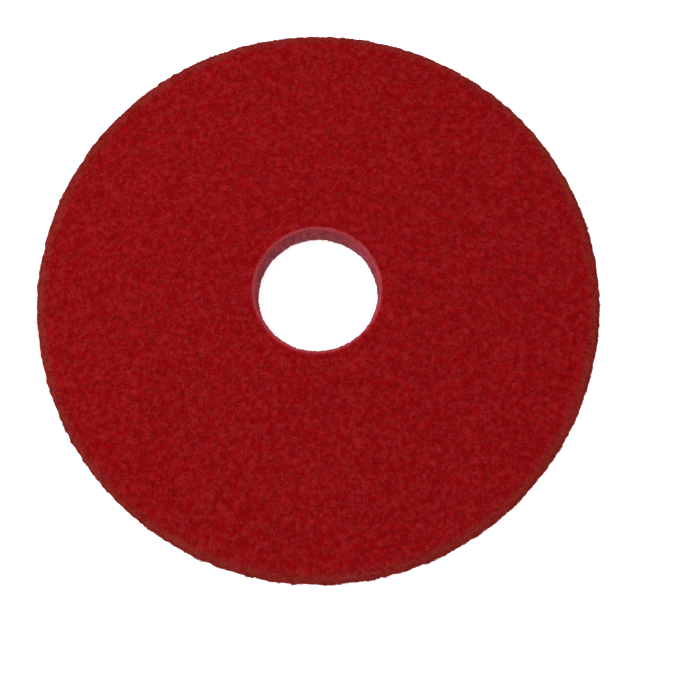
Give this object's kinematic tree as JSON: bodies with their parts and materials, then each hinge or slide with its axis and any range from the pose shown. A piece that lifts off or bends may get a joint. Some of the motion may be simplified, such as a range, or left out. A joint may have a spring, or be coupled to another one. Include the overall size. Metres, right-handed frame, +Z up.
{
  "type": "floor machine pad",
  "caption": "Round red non-woven floor pad with an open centre hole, for polishing or light scrubbing of hard floors under a rotary floor machine.",
  "frame": {"origin": "centre of the lower face, on the axis of the centre hole, where the pad lies on the floor", "axes": "+Z up along the axis of the centre hole, towards the pad driver; X and Y lie in the lower face and are interchangeable, because the pad is a body of revolution"},
  "size_m": [0.3799, 0.38, 0.025],
  "materials": {
    "red_web": "matte, open non-woven web of crimped fibres bonded with resin"
  },
  "bodies": {
    "root": {"pad_web": "red_web"}
  },
  "joints": []
}
